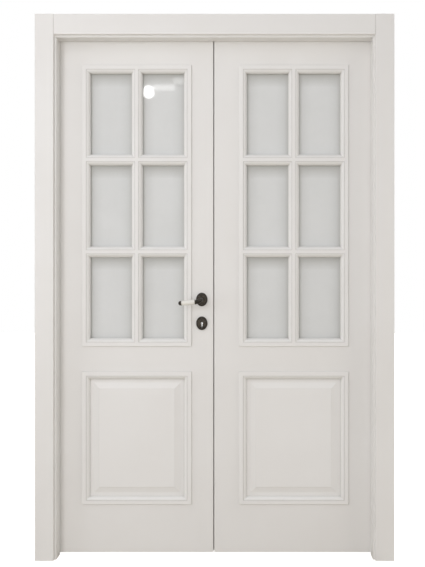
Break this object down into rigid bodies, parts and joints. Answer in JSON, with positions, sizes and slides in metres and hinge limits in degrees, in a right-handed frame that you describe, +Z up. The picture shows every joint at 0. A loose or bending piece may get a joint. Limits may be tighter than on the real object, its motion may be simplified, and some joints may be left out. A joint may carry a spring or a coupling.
{
  "type": "double door",
  "caption": "Double door in its frame: rebated leaves with small-paned satin glass over raised panels, lever lock, flush bolts and butt hinges.",
  "frame": {"origin": "on the floor, in the middle of the set's width and of the leaves' thickness", "axes": "+X to the right seen from the front, +Y to the back, where the leaves open, +Z up"},
  "size_m": [1.396, 0.172, 2.096],
  "materials": {
    "lacquer": "white satin lacquer",
    "glass": "satin white, one glossy face",
    "seal": "soft matt",
    "hinge_steel": "satin",
    "lock_steel": "satin",
    "dark_metal": "dark bronze, satin",
    "porcelain": "glazed"
  },
  "bodies": {
    "frame": {"back_casing_head": "lacquer", "back_casing_left": "lacquer", "back_casing_right": "lacquer", "frame_seal": "seal", "front_casing_head": "lacquer", "front_casing_left": "lacquer", "front_casing_right": "lacquer", "head_keep": "lock_steel", "hinge_jamb_plates": "hinge_steel", "hinge_pins": "hinge_steel", "jamb_head": "lacquer", "jamb_left": "lacquer", "jamb_right": "lacquer"},
    "left_leaf": {"left_bottom_rail": "lacquer", "left_glass": "glass", "left_glazing_bars_back": "lacquer", "left_glazing_bars_front": "lacquer", "left_glazing_moulding_back": "lacquer", "left_glazing_moulding_front": "lacquer", "left_hinge_plates": "hinge_steel", "left_hinge_stile": "lacquer", "left_lock_stile": "lacquer", "left_middle_rail": "lacquer", "left_panel": "lacquer", "left_panel_moulding_back": "lacquer", "left_panel_moulding_front": "lacquer", "left_top_rail": "lacquer", "lock_case": "lock_steel", "lock_faceplate": "lock_steel", "roses": "dark_metal", "keyhole_plates": "dark_metal"},
    "right_leaf": {"right_bottom_rail": "lacquer", "right_glass": "glass", "right_glazing_bars_back": "lacquer", "right_glazing_bars_front": "lacquer", "right_glazing_moulding_back": "lacquer", "right_glazing_moulding_front": "lacquer", "right_hinge_plates": "hinge_steel", "right_hinge_stile": "lacquer", "right_meeting_stile": "lacquer", "right_middle_rail": "lacquer", "right_panel": "lacquer", "right_panel_moulding_back": "lacquer", "right_panel_moulding_front": "lacquer", "right_top_rail": "lacquer", "strike_plate": "lock_steel", "flush_bolt_plates": "lock_steel"},
    "lever": {"spindle": "lock_steel", "lock_follower": "lock_steel", "lever_neck_front": "dark_metal", "lever_neck_back": "dark_metal", "lever_grip_front": "porcelain", "lever_grip_back": "porcelain", "lever_tips": "dark_metal"},
    "latch": {"latch_bolt": "lock_steel"},
    "dead_bolt": {"dead_bolt": "lock_steel"},
    "top_bolt": {"top_bolt": "lock_steel"},
    "bottom_bolt": {"bottom_bolt": "lock_steel"}
  },
  "joints": [
    {"name": "left_hinge", "type": "hinge", "parent": "frame", "child": "left_leaf", "pos_m": [-0.6175, 0.026, 1.008], "axis": [0, 0, 1], "range_deg": [0, 105]},
    {"name": "right_hinge", "type": "hinge", "parent": "frame", "child": "right_leaf", "pos_m": [0.6175, 0.026, 1.008], "axis": [0, 0, -1], "range_deg": [0, 105]},
    {"name": "lever_turn", "type": "hinge", "parent": "left_leaf", "child": "lever", "pos_m": [-0.0525, 0, 0.9925], "axis": [0, -1, 0], "range_deg": [0, 40], "stiffness_Nm_per_rad": 1.5, "springref_deg": -28.65},
    {"name": "latch_slide", "type": "slide", "parent": "left_leaf", "child": "latch", "axis": [-1, 0, 0], "range_m": [0, 0.01]},
    {"name": "dead_bolt_slide", "type": "slide", "parent": "left_leaf", "child": "dead_bolt", "axis": [1, 0, 0], "range_m": [0, 0.014]},
    {"name": "top_bolt_slide", "type": "slide", "parent": "right_leaf", "child": "top_bolt", "axis": [0, 0, 1], "range_m": [0, 0.014]},
    {"name": "bottom_bolt_slide", "type": "slide", "parent": "right_leaf", "child": "bottom_bolt", "axis": [0, 0, -1], "range_m": [0, 0.014]}
  ],
  "couplings": [
    {"joint": "latch_slide", "follows": "lever_turn", "m_per_rad": 0.01432}
  ]
}
